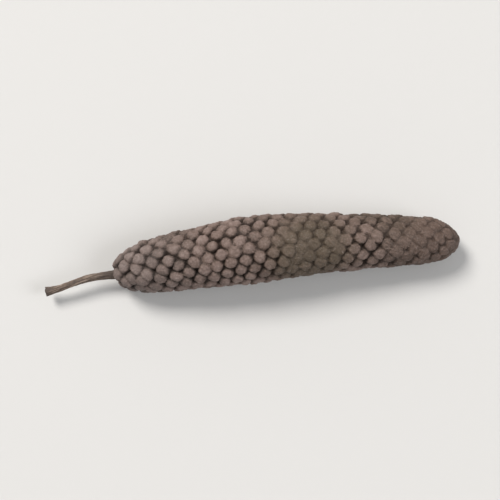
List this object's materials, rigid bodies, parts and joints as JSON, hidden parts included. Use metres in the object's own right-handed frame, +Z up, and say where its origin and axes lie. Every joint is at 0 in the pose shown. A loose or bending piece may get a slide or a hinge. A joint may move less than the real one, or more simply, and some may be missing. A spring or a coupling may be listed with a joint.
{
  "type": "long pepper",
  "caption": "Dried long pepper: a tapered, slightly bowed spike covered with small fused berries, lying on its side, with a thin stalk.",
  "frame": {"origin": "on the surface that it lies on, under the middle of its box", "axes": "+X from the stalk to the tip, +Y to the side that the spike bows to, +Z up"},
  "size_m": [0.0438, 0.0072, 0.0069],
  "materials": {
    "dry_berries": "matt, dry and finely wrinkled",
    "dry_stalk": "matt, dry, wrinkled lengthwise"
  },
  "bodies": {
    "root": {"fruit_spike": "dry_berries", "stalk": "dry_stalk"}
  },
  "joints": []
}
